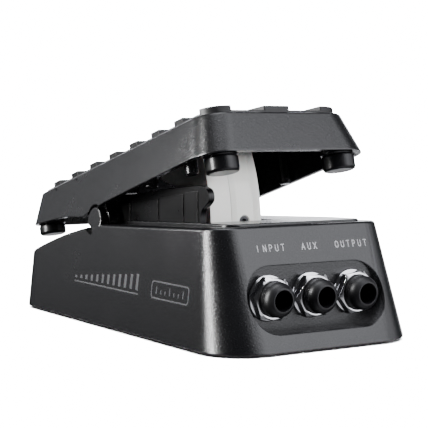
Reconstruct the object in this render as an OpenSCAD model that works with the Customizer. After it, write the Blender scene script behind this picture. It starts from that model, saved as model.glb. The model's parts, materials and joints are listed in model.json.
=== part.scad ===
// Mini volume pedal with a band drive: a rocking treadle turns a small drum on a potentiometer shaft
// through a thin band laid along a sector. Millimetres, +Z up, +X towards the toe end with the jacks.
// The origin is at the middle of the whole pedal, on the surface it stands on.

/* [Base housing] */
// Length of the base at its bottom edge
base_len = 149; // [147:1:150]
// Width of the base at its bottom edge
base_w = 77.6; // [77:0.2:78.4]
// Height of the base wall at the toe end
base_h = 38.6; // [38.4:0.2:38.8]
// Wall thickness of the castings
wall = 2.5; // [2.2:0.1:2.7]
// Corner radius at the toe end, at the bottom edge
toe_corner_r = 16; // [14:1:17]
// Corner radius at the heel end, at the bottom edge
heel_corner_r = 11; // [9:1:13]

/* [Treadle] */
// Angle of the treadle at rest, toe up
tilt = 14.28; // [14:0.1:14.4]
// Height of the treadle's top face above the hinge axis, square to the face
tread_n = 20.9; // [20.7:0.1:21.2]
// Half width of the top face
tread_half_w = 28.8; // [28.4:0.1:29.2]
// Distance from the hinge to the toe edge of the top face
tread_toe_s = 74.4; // [74:0.2:75]
// Distance from the hinge to the heel edge of the top face
tread_heel_s = 56.2; // [55.4:0.2:56.4]
// Sideways lean of the treadle's walls per millimetre of height
tread_lean = 0.31; // [0.29:0.01:0.32]

/* [Hinge] */
// Distance of the hinge axis behind the toe edge of the base
hinge_from_toe = 93.7; // [93.5:0.1:93.9]
// Height of the hinge axis above the bottom edge of the base
hinge_h = 35.4; // [35.3:0.1:35.5]
// Radius of the hinge pins
pin_r = 2; // [1.8:0.1:2.2]
// Radial running clearance of pins and shafts in their bushes
run_gap = 0.06; // [0.03:0.01:0.09]

/* [Band drive] */
// Radius of the sector's rim about the hinge
rim_r = 56.5; // [56.3:0.1:56.6]
// Width of the sector
sector_w = 19.8; // [19.4:0.2:20]
// Sideways place of the sector's middle
sector_y = -10.5; // [-10.7:0.1:-10.3]
// Radius of the drum that the band turns
drum_r = 4; // [3.9:0.05:4]
// Thickness of the band on the rim
band_t = 0.4; // [0.3:0.05:0.4]
// Width of the band
band_w = 8.5; // [8:0.1:8.6]
// Angle of the drum below the level of the hinge
drum_angle = 12.5; // [12.3:0.1:12.7]

/* [Jacks] */
// Sideways distance between neighbouring jacks
jack_pitch = 16.5; // [16.4:0.1:16.6]
// Height of the jacks' centres above the bottom edge of the base
jack_h = 15.8; // [15.7:0.1:15.9]
// Radius of the plug hole of a 6.35 mm jack
plug_r = 3.2; // [3.18:0.01:3.25]
// Height of the recess round the jacks
recess_h = 20.4; // [20.2:0.1:20.6]

/* [Rubber] */
// Height of the feet below the bottom edge of the base
foot_h = 1; // [0.8:0.1:1.2]
// Thickness of the tread pad's sheet
pad_t = 1.1; // [0.9:0.1:1.3]
// Height of the pad's blocks above the sheet
block_h = 1.5; // [1:0.1:1.8]
// Radius of the toe bumpers
toe_bumper_r = 5.5; // [5.2:0.1:5.6]
// Radius of the heel bumpers
heel_bumper_r = 5.1; // [4.8:0.1:5.3]

/* [Hidden] */

$fn = 64;
thin = 0.01;

// Base housing
toe_lean = 0.374;
side_lean = 0.126;
corner_shrink = 0.177;
heel_corner_shrink = 0.04;
prism_top = 45;
deck_t = 2.5;
deck_rise = 0.045;
slope_start = 88;
slope_lean = 0.139;
slope_curve = 0.0019;
toe_x = 76.66;
function deck_z(d) = base_h - deck_rise * d;
function slope_z(d) = deck_z(slope_start) - slope_lean * (d - slope_start) - slope_curve * pow(d - slope_start, 2);
function top_z(d) = d < slope_start ? deck_z(d) : slope_z(d);

// Openings in the deck: the mechanism's slot and the two hinge pockets
slot_toe = 33;
slot_heel = 108;
slot_left = 26;
slot_right = 1.5;
pocket_toe = 87;
pocket_heel = 100.6;
pocket_in = 24.2;
pocket_out = 31;

// Raised land round the slot: [distance from the toe edge, rise above the deck]
land_half = 27;
land_inset = 2.4;
land_line = [[16.8, 0.8], [36, 1.15], [84, 1.15], [85.6, 0]];

// Ears that carry the hinge pins
ear_r = 5;
ear_in = 31;
ear_out = 36;
pin_depth = 2;

// Bottom plate, its screws and the feet
plate_z = 0.3;
plate_t = 1.5;
plate_gap = 0.3;
plate_screws = [[20, 30.6], [135.5, 26.5]];
plate_boss_r = 3.6;
plate_screw_r = 1.5;
plate_screw_len = 10;
feet_at = [[37, 24], [126, 24]];
foot_r = 6;

// Jack row
panel_x = -10.2;
recess_margin = 3;
nose_x = -1.4;
jack_pitches = [-1, 0, 1];
bush_r = 5.55;
panel_hole_r = 5.8;
panel_back = panel_x - wall;
jack_back = -27.2;
jack_half_w = 6.3;
jack_half_h = 5.2;
jack_cavity_r = 4.3;
sleeve_end = -16;
washer_t = 0.8;
washer_r = 7.4;
nut_t = 3;
nut_flats = 13;
leaf_z = 3.65;
leaf_t = 0.4;
pin_xs = [-18.5, -23.5];

// Circuit board and what is soldered below it
board_z = 8.9;
board_t = 1.6;
board_w = 53;
board_toe = -13.3;
board_heel = -28;
board_tail = -40;
board_tail_y = [5.5, 26.5];
switch_at = [-21, 12];
switch_size = [3.6, 8, 3.5];
slider_len = 3.4;
trim_at = [-21, -12];
trim_size = 6;

// Mechanism frame: two cheeks and what ties them together
near_cheek = [-24.5, -22.7];
far_cheek = [3, 4.8];
frame_tab_z = 24;
tab_t = 2;
tab_half = 5;
tabs_at = [[75, -28.3], [50, -28.3], [75, 10.5], [50, 10.5]];
frame_boss_r = 3;

// Potentiometer, shaft and drum
wrap_t = 0.3;
drum_gap = 0.3;
drum_dist = rim_r + band_t + drum_gap + wrap_t + drum_r;
drum_x = -hinge_from_toe + drum_dist * cos(drum_angle);
drum_z = hinge_h - drum_dist * sin(drum_angle);
shaft_r = 3;
shaft_ends = [-24.2, 8];
pot_r = 6;
pot_depth = 8;
pot_bush_r = 3.5;
drum_hub = 4.3;

// Treadle
tread_toe_lean = 0.307;
tread_heel_lean = 0.25;
tread_toe_r = 9.4;
tread_heel_r = 6.5;
tread_corner_grow = 0.092;
tread_skin = 2.5;
hinge_boss_r = 5.2;
hinge_boss_y = [26, 30.8];
bush_wall = 1.3;
notch_r = 5.9;
toe_bumper_at = [70.9, 23.3];
heel_bumper_at = [-51.5, 26];
toe_bumper_n = [1.44, 6.7];
heel_bumper_n = [4.2, 8];
stem_r = 1.5;
stem_len = 5;
pillars_at = [[60, 3.5], [33, 5]];
pillar_y = 28;

// Sector, in the treadle's own directions
sector_top_n = 16;
rim_t = 2.5;
rim_low = -35.6;
flank_t = 2;
flank_in = 42;
band_y = [sector_y - 1.7, sector_y - 1.7 + band_w];
band_screw_angles = [-11.8, -34.1];
band_screw_r = [1.7, 1.1];
sector_screws_s = [34, 47];

// Tread pad
pad_inset = 2;
block_pitch = 15.85;
block_len = 5.5;
block_rows = 8;
block_w = 9.7;

// ---------- Frames ----------

// Lengths back from the toe edge of the base, heights from its bottom edge
module base_frame() { translate([toe_x, 0, foot_h]) children(); }

// The treadle's directions: x along it to the toe, z square to its face, origin on the hinge axis
module treadle_frame() {
    base_frame() translate([-hinge_from_toe, 0, hinge_h]) rotate([0, -tilt, 0]) children();
}

// Flat outline in X and Z, made a slab between two places across the pedal
module slab(y_from, y_to) {
    translate([0, y_to, 0]) rotate([90, 0, 0]) linear_extrude(y_to - y_from) children();
}

module across(x, z, r, y_from, y_to) {
    translate([x, y_to, z]) rotate([90, 0, 0]) cylinder(r = r, h = y_to - y_from);
}

module along_x(y, z, r, x_from, x_to) {
    translate([x_from, y, z]) rotate([0, 90, 0]) cylinder(r = r, h = x_to - x_from);
}

module both_sides() {
    children();
    mirror([0, 1, 0]) children();
}

// ---------- Base housing ----------

module base_prism(inset, low, high) {
    hull() for (z = [low, high]) {
        toe_r = toe_corner_r - corner_shrink * z - inset;
        heel_r = heel_corner_r - heel_corner_shrink * z - inset;
        half = base_w / 2 - side_lean * z - inset;
        both_sides() {
            translate([-toe_lean * z - inset - toe_r, half - toe_r, z]) cylinder(r = toe_r, h = thin, $fn = 48);
            translate([-base_len + inset + heel_r, half - heel_r, z]) cylinder(r = heel_r, h = thin, $fn = 32);
        }
    }
}

module base_profile(down) {
    points = [for (d = [slope_start : 7 : base_len + 8]) [-d, slope_z(d) - down]];
    polygon(concat([[5, -5], [5, base_h + deck_rise * 5 - down]], points, [[-base_len - 8, -5]]));
}

module stadium(r, x_from, x_to) {
    for (side = [-1, 1]) along_x(side * jack_pitch, jack_h - 0.2, r, x_from, x_to);
    translate([x_from, -jack_pitch, jack_h - 0.2 - r]) cube([x_to - x_from, 2 * jack_pitch, 2 * r]);
}

module deck_land() {
    intersection() {
        base_prism(land_inset, 30, prism_top);
        slab(-land_half, land_half) polygon(concat([[-land_line[0][0], 30]],
            [for (p = land_line) [-p[0], deck_z(p[0]) + p[1]]], [[-land_line[3][0], 30]]));
    }
}

// Everything that stands on the deck or hangs below it is cut from the same leaning prism
module base_blank() {
    intersection() {
        base_prism(0, 0, prism_top);
        union() {
            slab(-50, 50) base_profile(0);
            deck_land();
            both_sides() slab(ear_in, ear_out + 4) union() {
                translate([-hinge_from_toe, hinge_h]) circle(r = ear_r);
                translate([-hinge_from_toe - ear_r, hinge_h - 9]) square([2 * ear_r, 9]);
            }
        }
    }
}

// Room inside the shell, less the jack panel and the screw bosses that stand in it
module base_room() {
    difference() {
        intersection() {
            base_prism(wall, -1, prism_top);
            slab(-50, 50) base_profile(deck_t);
        }
        translate([panel_back, -jack_pitch - recess_h / 2 - recess_margin, 2.6])
            cube([20, 2 * jack_pitch + recess_h + 2 * recess_margin, recess_h + 2 * recess_margin]);
        both_sides() for (p = plate_screws)
            translate([-p[0], p[1], plate_z + plate_t]) cylinder(r = plate_boss_r, h = 50);
        for (p = tabs_at)
            translate([-p[0], p[1], frame_tab_z + tab_t]) cylinder(r = frame_boss_r, h = 30);
    }
}

module base_housing() color([0.16, 0.16, 0.17]) base_frame() difference() {
    base_blank();
    base_room();
    stadium(recess_h / 2, panel_x, 5);
    for (k = jack_pitches) along_x(k * jack_pitch, jack_h, panel_hole_r, panel_back - 1, 0);
    translate([-slot_heel, -slot_left, 28]) cube([slot_heel - slot_toe, slot_left + slot_right, 20]);
    both_sides() {
        translate([-pocket_heel, pocket_in, 28]) cube([pocket_heel - pocket_toe, pocket_out - pocket_in, 15]);
        across(-hinge_from_toe, hinge_h, pin_r, pocket_in, ear_in + pin_depth);
        // Relief slot below the ear
        for (k = [0 : 3]) across(-99 + 1.27 * k, 33.3 - 0.53 * k, 1.3, 33, 40);
        for (p = plate_screws) translate([-p[0], p[1], 0])
            cylinder(r = plate_screw_r, h = plate_z + plate_t + plate_screw_len);
    }
    for (p = tabs_at) translate([-p[0], p[1], frame_tab_z])
        cylinder(r = plate_screw_r, h = tab_t + 6);
}

module bottom_plate() color([0.2, 0.2, 0.21]) base_frame() difference() {
    translate([0, 0, plate_z]) linear_extrude(plate_t) plate_outline(wall + plate_gap);
    both_sides() for (p = plate_screws) translate([-p[0], p[1], plate_z]) {
        translate([0, 0, -1]) cylinder(r = plate_screw_r + 0.1, h = 4);
        translate([0, 0, -thin]) cylinder(r1 = 2.9, r2 = plate_screw_r, h = 1.4);
    }
}

// Rounded outline of the base's bottom, pulled in by an amount and a little more at the leaning toe
module plate_outline(inset) {
    toe_edge = inset + 0.5;
    toe_r = toe_corner_r - inset;
    heel_r = heel_corner_r - inset;
    half = base_w / 2 - inset;
    for (side = [-1, 1]) {
        translate([-toe_edge - toe_r, side * (half - toe_r)]) circle(r = toe_r);
        translate([-base_len + inset + heel_r, side * (half - heel_r)]) circle(r = heel_r);
    }
    translate([-base_len + inset + heel_r, -half])
        square([base_len - inset - toe_edge - heel_r - toe_r, 2 * half]);
    translate([-base_len + inset, -half + heel_r])
        square([base_len - inset - toe_edge - toe_r, 2 * (half - heel_r)]);
    translate([-toe_edge - 2 * toe_r, -half + toe_r]) square([2 * toe_r, 2 * (half - toe_r)]);
}

module bottom_plate_screws() color("dimgray") base_frame()
    both_sides() for (p = plate_screws) translate([-p[0], p[1], plate_z]) difference() {
        union() {
            cylinder(r1 = 2.8, r2 = plate_screw_r, h = 1.3);
            cylinder(r = plate_screw_r, h = plate_t + 8);
        }
        for (turn = [0, 90]) rotate(turn) translate([-1.6, -0.3, -1]) cube([3.2, 0.6, 1.7]);
    }

module rubber_feet() color([0.1, 0.1, 0.1]) base_frame()
    both_sides() for (p = feet_at) translate([-p[0], p[1], -foot_h])
        cylinder(r1 = foot_r - 0.5, r2 = foot_r, h = foot_h + plate_z);

// ---------- Hinge pins ----------

module hinge_pin() base_frame() {
    across(-hinge_from_toe, hinge_h, pin_r, 25.8, ear_in + pin_depth);
    across(-hinge_from_toe, hinge_h, pin_r + 1.2, 24.7, 25.8);
}

module hinge_pin_left() color("silver") mirror([0, 1, 0]) hinge_pin();

module hinge_pin_right() color("silver") hinge_pin();

// ---------- Mechanism frame ----------

module near_cheek_outline() {
    polygon([[-104, 12], [-104, 39.8], [-88, 44], [-66, 47.4], [-46, 49.4], [-38.4, 49.6],
        [-35.4, 48.6], [-35.6, 41], [-36.2, 34], [-28.7, 30.5], [-28.7, 4], [-34, 4], [-52, 12]]);
    translate([-35.6, 45.3]) circle(r = 4.4);
}

module far_cheek_outline() {
    polygon([[-104, 12], [-104, 29], [-88, 31.6], [-60, 33], [-28.7, 33.2], [-28.7, 4], [-34, 4], [-52, 12]]);
}

module frame_tab(d, y) {
    cheek_y = y < 0 ? near_cheek[0] : far_cheek[1];
    edge = y < 0 ? y - 2.7 : y + 3.5;
    translate([-d - tab_half, min(cheek_y, edge), frame_tab_z])
        cube([2 * tab_half, abs(edge - cheek_y), tab_t]);
}

module mechanism_frame() color([0.09, 0.09, 0.1]) base_frame() difference() {
    union() {
        slab(near_cheek[0], near_cheek[1]) near_cheek_outline();
        slab(far_cheek[0], far_cheek[1]) far_cheek_outline();
        for (p = tabs_at) frame_tab(p[0], p[1]);
        translate([-104, near_cheek[0], 12]) cube([2, far_cheek[1] - near_cheek[0], 17]);
        translate([-33, near_cheek[0], 4]) cube([2.5, far_cheek[1] - near_cheek[0], 4]);
    }
    across(drum_x, drum_z, shaft_r + run_gap + 1, near_cheek[0] - 1, near_cheek[1] + 1);
    across(drum_x, drum_z, pot_bush_r, far_cheek[0] - 1, far_cheek[1] + 1);
    for (p = tabs_at) translate([-p[0], p[1], frame_tab_z - 1])
        cylinder(r = plate_screw_r, h = tab_t + 2);
}

module frame_screws() color("dimgray") base_frame()
    for (p = tabs_at) translate([-p[0], p[1], frame_tab_z]) difference() {
        union() {
            translate([0, 0, -1.6]) cylinder(r = 2.5, h = 1.6);
            cylinder(r = plate_screw_r, h = tab_t + 6);
        }
        for (turn = [0, 90]) rotate(turn) translate([-1.6, -0.3, -2]) cube([3.2, 0.6, 1.2]);
    }

// ---------- Potentiometer ----------

module potentiometer() color([0.25, 0.35, 0.3]) base_frame() difference() {
    union() {
        across(drum_x, drum_z, pot_r, far_cheek[1], far_cheek[1] + pot_depth);
        across(drum_x, drum_z, pot_bush_r, 0.6, far_cheek[1]);
        for (k = [-1, 0, 1]) translate([drum_x - 4.6, far_cheek[1] + 4 + 2.4 * k - 0.4, 12.6]) cube([0.4, 0.8, 6]);
    }
    across(drum_x, drum_z, shaft_r + run_gap, 0, shaft_ends[1] + 0.3);
}

module pot_washer() color("silver") base_frame() difference() {
    across(drum_x, drum_z, 5.4, far_cheek[0] - 0.5, far_cheek[0]);
    across(drum_x, drum_z, pot_bush_r, 0, 5);
}

module pot_nut() color("silver") base_frame() difference() {
    translate([drum_x, far_cheek[0] - 0.5, drum_z]) rotate([90, 0, 0]) cylinder(r = 5.7, h = 1.6, $fn = 6);
    across(drum_x, drum_z, pot_bush_r, 0, 5);
}

module shaft_bush() color("ivory") base_frame() difference() {
    union() {
        across(drum_x, drum_z, shaft_r + run_gap + 1, near_cheek[0], near_cheek[1]);
        across(drum_x, drum_z, shaft_r + run_gap + 1.8, near_cheek[1], near_cheek[1] + 0.8);
    }
    across(drum_x, drum_z, shaft_r + run_gap, near_cheek[0] - 1, near_cheek[1] + 2);
}

module pot_shaft() color("silver") base_frame() across(drum_x, drum_z, shaft_r, shaft_ends[0], shaft_ends[1]);

module band_drum() color("ivory") base_frame() difference() {
    across(drum_x, drum_z, drum_r, band_y[0] - drum_hub, band_y[1]);
    across(drum_x, drum_z, shaft_r, -30, 10);
    translate([drum_x, band_y[0] - drum_hub / 2, drum_z]) rotate([0, 90, 0]) cylinder(r = 1, h = 6);
}

module drum_set_screw() color("dimgray") base_frame() difference() {
    translate([drum_x + shaft_r + 0.05, band_y[0] - drum_hub / 2, drum_z]) rotate([0, 90, 0]) cylinder(r = 1, h = 1.3);
    translate([drum_x + shaft_r + 0.7, band_y[0] - drum_hub / 2, drum_z])
        rotate([0, 90, 0]) cylinder(r = 0.5, h = 2, $fn = 6);
}

module drum_band_wrap() color("whitesmoke") base_frame() difference() {
    across(drum_x, drum_z, drum_r + wrap_t, band_y[0], band_y[1]);
    across(drum_x, drum_z, drum_r, -30, 10);
}

module pot_wires() color("firebrick") base_frame() for (k = [-1, 0, 1])
    translate([drum_x - 5.2, far_cheek[1] + 4 + 2.4 * k, board_z + board_t]) {
        cylinder(r = 0.5, h = 4);
        translate([0, 0, 4]) sphere(r = 0.5);
    }

// ---------- Jacks and circuit board ----------

module jack_body(k) color([0.08, 0.08, 0.09]) base_frame() translate([0, k * jack_pitch, jack_h]) difference() {
    union() {
        rotate([0, 90, 0]) {
            translate([0, 0, panel_back]) cylinder(r = bush_r, h = nose_x - 2.2 - panel_back);
            translate([0, 0, nose_x - 2.2]) cylinder(r1 = bush_r, r2 = 4.4, h = 1);
            translate([0, 0, nose_x - 1.2]) cylinder(r = 4.4, h = 1.2);
        }
        translate([jack_back, -jack_half_w, -jack_half_h])
            cube([panel_back - jack_back, 2 * jack_half_w, 2 * jack_half_h]);
    }
    along_x(0, 0, plug_r, sleeve_end - 1, 1);
    along_x(0, 0, jack_cavity_r, jack_back + 1.5, sleeve_end);
    along_x(0, 0, plug_r + 0.1, jack_back - 1, sleeve_end);
    for (x = pin_xs) translate([x, 0, -jack_half_h - 1]) cylinder(r = 0.5, h = 4);
}

module jack_contacts(k) color("silver") base_frame() translate([0, k * jack_pitch, jack_h]) {
    for (x = pin_xs) {
        translate([x - 1.8, -1.3, -leaf_z - leaf_t / 2]) cube([3.6, 2.6, leaf_t]);
        translate([x, 0, board_z - 0.6 - jack_h]) cylinder(r = 0.4, h = jack_h - board_z + 0.6 - leaf_z);
    }
}

module jack_washer(k) color("silver") base_frame() difference() {
    along_x(k * jack_pitch, jack_h, washer_r, panel_x, panel_x + washer_t);
    along_x(k * jack_pitch, jack_h, panel_hole_r, panel_x - 1, 0);
}

module jack_nut(k) color("silver") base_frame()
    translate([panel_x + washer_t, k * jack_pitch, jack_h]) rotate([0, 90, 0]) difference() {
        intersection() {
            cylinder(r = nut_flats / 2 / cos(30), h = nut_t, $fn = 6);
            cylinder(r1 = nut_flats / 2 + 2.8, r2 = nut_flats / 2 - 0.2, h = nut_t);
        }
        translate([0, 0, -1]) cylinder(r = bush_r + 0.02, h = nut_t + 2);
    }

module input_jack() jack_body(-1);
module aux_jack() jack_body(0);
module output_jack() jack_body(1);
module input_jack_contacts() jack_contacts(-1);
module aux_jack_contacts() jack_contacts(0);
module output_jack_contacts() jack_contacts(1);
module input_jack_washer() jack_washer(-1);
module aux_jack_washer() jack_washer(0);
module output_jack_washer() jack_washer(1);
module input_jack_nut() jack_nut(-1);
module aux_jack_nut() jack_nut(0);
module output_jack_nut() jack_nut(1);

module circuit_board() color([0.1, 0.35, 0.2]) base_frame() difference() {
    translate([0, 0, board_z]) union() {
        translate([board_heel, -board_w / 2, 0]) cube([board_toe - board_heel, board_w, board_t]);
        translate([board_tail, board_tail_y[0], 0])
            cube([board_heel - board_tail + 1, board_tail_y[1] - board_tail_y[0], board_t]);
    }
    for (k = jack_pitches, x = pin_xs) translate([x, k * jack_pitch, board_z - 1]) cylinder(r = 0.5, h = 4);
}

module mode_switch() color([0.1, 0.1, 0.1]) base_frame() difference() {
    translate([switch_at[0] - switch_size[0] / 2, switch_at[1] - switch_size[1] / 2, board_z - switch_size[2]])
        cube(switch_size);
    translate([switch_at[0] - 1, switch_at[1] - 2.7, board_z - switch_size[2] - 1]) cube([2, 5.4, 3.5]);
}

module mode_switch_slider() color("white") base_frame() {
    translate([switch_at[0] - 0.9, switch_at[1] - 2.5, board_z - switch_size[2] + 0.4])
        cube([1.8, slider_len, 1.8]);
    translate([switch_at[0] - 0.8, switch_at[1] - 1.6, board_z - switch_size[2] - 1.6]) cube([1.6, 1.6, 2.2]);
}

module trim_pot() color([0.15, 0.25, 0.5]) base_frame() difference() {
    translate([trim_at[0] - trim_size / 2, trim_at[1] - trim_size / 2, board_z - 3.4])
        cube([trim_size, trim_size, 3.4]);
    translate([trim_at[0], trim_at[1], board_z - 5]) cylinder(r = 2.26, h = 3.4);
}

module trim_pot_rotor() color("white") base_frame() translate([trim_at[0], trim_at[1], board_z - 4]) difference() {
    cylinder(r = 2.2, h = 2.3);
    for (turn = [0, 90]) rotate(turn) translate([-1.5, -0.3, -1]) cube([3, 0.6, 1.6]);
}

// ---------- Treadle ----------

module treadle_prism(inset, low, high) {
    hull() for (n = [low, high]) {
        drop = tread_n - n;
        toe_r = tread_toe_r + tread_corner_grow * drop - inset;
        heel_r = tread_heel_r + tread_corner_grow * drop - inset;
        half = tread_half_w + tread_lean * drop - inset;
        both_sides() {
            translate([tread_toe_s + tread_toe_lean * drop - inset - toe_r, half - toe_r, n])
                cylinder(r = toe_r, h = thin, $fn = 48);
            translate([-tread_heel_s - tread_heel_lean * drop + inset + heel_r, half - heel_r, n])
                cylinder(r = heel_r, h = thin, $fn = 32);
        }
    }
}

module treadle_outside() {
    intersection() {
        treadle_prism(0, -4, tread_n);
        slab(-50, 50) polygon([[95, 7.5], [8, 5.1], [1.5, 4.4], [-8.8, 3.15], [-25, 6.25], [-40, 7.6],
            [-53, 8.65], [-70, 9.3], [-70, tread_n], [95, tread_n]]);
    }
}

module post(s, y, n, r) {
    translate([s, y, n]) cylinder(r = r, h = tread_n - n - 1);
}

module treadle_shell() color([0.17, 0.17, 0.18]) treadle_frame() difference() {
    union() {
        difference() {
            treadle_outside();
            treadle_prism(tread_skin, -5, tread_n - tread_skin);
        }
        intersection() {
            treadle_prism(0.5, -4, tread_n);
            both_sides() {
                post(toe_bumper_at[0], toe_bumper_at[1], toe_bumper_n[1], toe_bumper_r);
                post(heel_bumper_at[0], heel_bumper_at[1], heel_bumper_n[1], heel_bumper_r);
                translate([-4, hinge_boss_y[0], 0]) cube([8, hinge_boss_y[1] - hinge_boss_y[0], tread_n - 1]);
                for (p = pillars_at) post(p[0], pillar_y, p[1], 2.2);
            }
        }
        both_sides() across(0, 0, hinge_boss_r, hinge_boss_y[0], hinge_boss_y[1]);
        for (s = sector_screws_s) post(s, sector_y, sector_top_n, 3.5);
    }
    both_sides() {
        across(0, 0, notch_r, hinge_boss_y[1], 50);
        across(0, 0, pin_r + run_gap + bush_wall, hinge_boss_y[0] - 1, hinge_boss_y[1] + 1);
        translate([toe_bumper_at[0], toe_bumper_at[1], toe_bumper_n[1] - 1]) cylinder(r = stem_r, h = stem_len + 1);
        translate([heel_bumper_at[0], heel_bumper_at[1], heel_bumper_n[1] - 1])
            cylinder(r = stem_r, h = stem_len + 1);
    }
    for (s = sector_screws_s) translate([s, sector_y, sector_top_n - 1]) cylinder(r = 1.5, h = 5.2);
}

module pad_outline(inset) {
    toe_r = tread_toe_r - inset;
    heel_r = tread_heel_r - inset;
    half = tread_half_w - inset;
    for (side = [-1, 1]) {
        translate([tread_toe_s - inset - toe_r, side * (half - toe_r)]) circle(r = toe_r);
        translate([-tread_heel_s + inset + heel_r, side * (half - heel_r)]) circle(r = heel_r);
    }
    translate([-tread_heel_s + inset + heel_r, -half])
        square([tread_toe_s + tread_heel_s - 2 * inset - heel_r - toe_r, 2 * half]);
    translate([-tread_heel_s + inset, -half + heel_r])
        square([tread_toe_s + tread_heel_s - 2 * inset - toe_r, 2 * (half - heel_r)]);
    translate([tread_toe_s - inset - 2 * toe_r, -half + toe_r]) square([2 * toe_r, 2 * (half - toe_r)]);
}

module tread_pad() color([0.12, 0.12, 0.12]) treadle_frame() translate([0, 0, tread_n]) {
    linear_extrude(pad_t) pad_outline(pad_inset);
    linear_extrude(pad_t + block_h) intersection() {
        pad_outline(pad_inset);
        for (row = [0 : block_rows]) {
            s = tread_toe_s - pad_inset - block_len - row * block_pitch;
            start = max(s, -tread_heel_s + pad_inset);
            for (y = [-block_w * 2.33, 0, block_w * 2.33])
                translate([start, y - block_w / 2]) square([block_len, block_w]);
        }
    }
}

module bumper(at, n, r) treadle_frame() translate([at[0], at[1], n[0]]) {
    cylinder(r1 = r - 0.5, r2 = r, h = 0.6);
    translate([0, 0, 0.6]) cylinder(r = r, h = n[1] - n[0] - 0.6);
    cylinder(r = stem_r, h = n[1] - n[0] + stem_len);
}

module toe_bumper_left() color([0.1, 0.1, 0.1]) mirror([0, 1, 0]) bumper(toe_bumper_at, toe_bumper_n, toe_bumper_r);
module toe_bumper_right() color([0.1, 0.1, 0.1]) bumper(toe_bumper_at, toe_bumper_n, toe_bumper_r);
module heel_bumper_left() color([0.1, 0.1, 0.1]) mirror([0, 1, 0]) bumper(heel_bumper_at, heel_bumper_n, heel_bumper_r);
module heel_bumper_right() color([0.1, 0.1, 0.1]) bumper(heel_bumper_at, heel_bumper_n, heel_bumper_r);

module screw_up(length, head_r, head_t) difference() {
    union() {
        cylinder(r = 1.5, h = length);
        translate([0, 0, -head_t]) cylinder(r = head_r, h = head_t);
    }
    for (turn = [0, 90]) rotate(turn) translate([-head_r * 0.7, -0.3, -head_t - 1]) cube([head_r * 1.4, 0.6, 1.6]);
}

module pivot_bush() treadle_frame() difference() {
    across(0, 0, pin_r + run_gap + bush_wall, hinge_boss_y[0], hinge_boss_y[1]);
    across(0, 0, pin_r + run_gap, hinge_boss_y[0] - 1, hinge_boss_y[1] + 1);
}

module pivot_bush_left() color("ivory") mirror([0, 1, 0]) pivot_bush();
module pivot_bush_right() color("ivory") pivot_bush();

// ---------- Sector and band ----------

// Ring between two radii, swept from the lowest rim angle up to a height above the hinge
module rim_ring(r_in, r_out, low, top_n) {
    intersection() {
        difference() {
            circle(r = r_out, $fn = 180);
            circle(r = r_in, $fn = 180);
        }
        polygon([[0, 0], 90 * [cos(low), sin(low)], [90, top_n], [r_in * 0.7, top_n]]);
    }
}

module sector_flank() {
    rim_ring(flank_in, rim_r, rim_low, sector_top_n);
    intersection() {
        circle(r = rim_r, $fn = 180);
        polygon([[27, sector_top_n], [27, 9], [40, 2], [90, 2], [90, sector_top_n]]);
    }
}

module band_hole(angle, y, r, from, to) {
    rotate([0, -angle, 0]) along_x(y, 0, r, from, to);
}

module band_sector() color([0.9, 0.89, 0.84]) treadle_frame() difference() {
    union() {
        slab(sector_y - sector_w / 2, sector_y + sector_w / 2) rim_ring(rim_r - rim_t, rim_r, rim_low, sector_top_n);
        for (y = [-sector_w / 2, -flank_t / 2, sector_w / 2 - flank_t])
            slab(sector_y + y, sector_y + y + flank_t) sector_flank();
        translate([27, sector_y - sector_w / 2, sector_top_n - 2]) cube([26.4, sector_w, 2]);
    }
    for (i = [0, 1]) {
        y = (band_y[0] + band_y[1]) / 2 + (i == 0 ? 0.5 : 0);
        band_hole(band_screw_angles[i], y, band_screw_r[i], rim_r - 9, rim_r + 1);
    }
    for (s = sector_screws_s) {
        translate([s, sector_y, 0]) cylinder(r = 1.5, h = 30);
        translate([s, sector_y, 0]) cylinder(r = 3.2, h = sector_top_n - 2);
    }
}

module sector_screws() color("dimgray") treadle_frame()
    for (s = sector_screws_s) translate([s, sector_y, sector_top_n - 2]) screw_up(6, 2.6, 1.6);

module drive_band() color([0.93, 0.92, 0.88]) treadle_frame() difference() {
    slab(band_y[0], band_y[1]) rim_ring(rim_r, rim_r + band_t, rim_low, sector_top_n);
    for (i = [0, 1]) {
        y = (band_y[0] + band_y[1]) / 2 + (i == 0 ? 0.5 : 0);
        band_hole(band_screw_angles[i], y, band_screw_r[i], rim_r - 9, rim_r + 1);
    }
}

module band_screws() color([0.1, 0.1, 0.1]) treadle_frame() for (i = [0, 1]) {
    y = (band_y[0] + band_y[1]) / 2 + (i == 0 ? 0.5 : 0);
    difference() {
        band_hole(band_screw_angles[i], y, band_screw_r[i], rim_r - 6, rim_r + 0.2);
        rotate([0, -band_screw_angles[i], 0]) translate([rim_r - 1, y, 0])
            rotate([0, 90, 0]) cylinder(r = band_screw_r[i] * 0.55, h = 3, $fn = 6);
    }
}

base_housing();
bottom_plate();
bottom_plate_screws();
rubber_feet();
hinge_pin_left();
hinge_pin_right();
mechanism_frame();
frame_screws();
potentiometer();
pot_washer();
pot_nut();
shaft_bush();
pot_wires();
circuit_board();
input_jack();
aux_jack();
output_jack();
input_jack_contacts();
aux_jack_contacts();
output_jack_contacts();
input_jack_washer();
aux_jack_washer();
output_jack_washer();
input_jack_nut();
aux_jack_nut();
output_jack_nut();
mode_switch();
trim_pot();
treadle_shell();
tread_pad();
toe_bumper_left();
toe_bumper_right();
heel_bumper_left();
heel_bumper_right();
pivot_bush_left();
pivot_bush_right();
band_sector();
sector_screws();
drive_band();
band_screws();
pot_shaft();
band_drum();
drum_set_screw();
drum_band_wrap();
mode_switch_slider();
trim_pot_rotor();
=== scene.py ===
import json
import math

import bpy
import bmesh
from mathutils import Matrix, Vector
from mathutils.geometry import delaunay_2d_cdt


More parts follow.
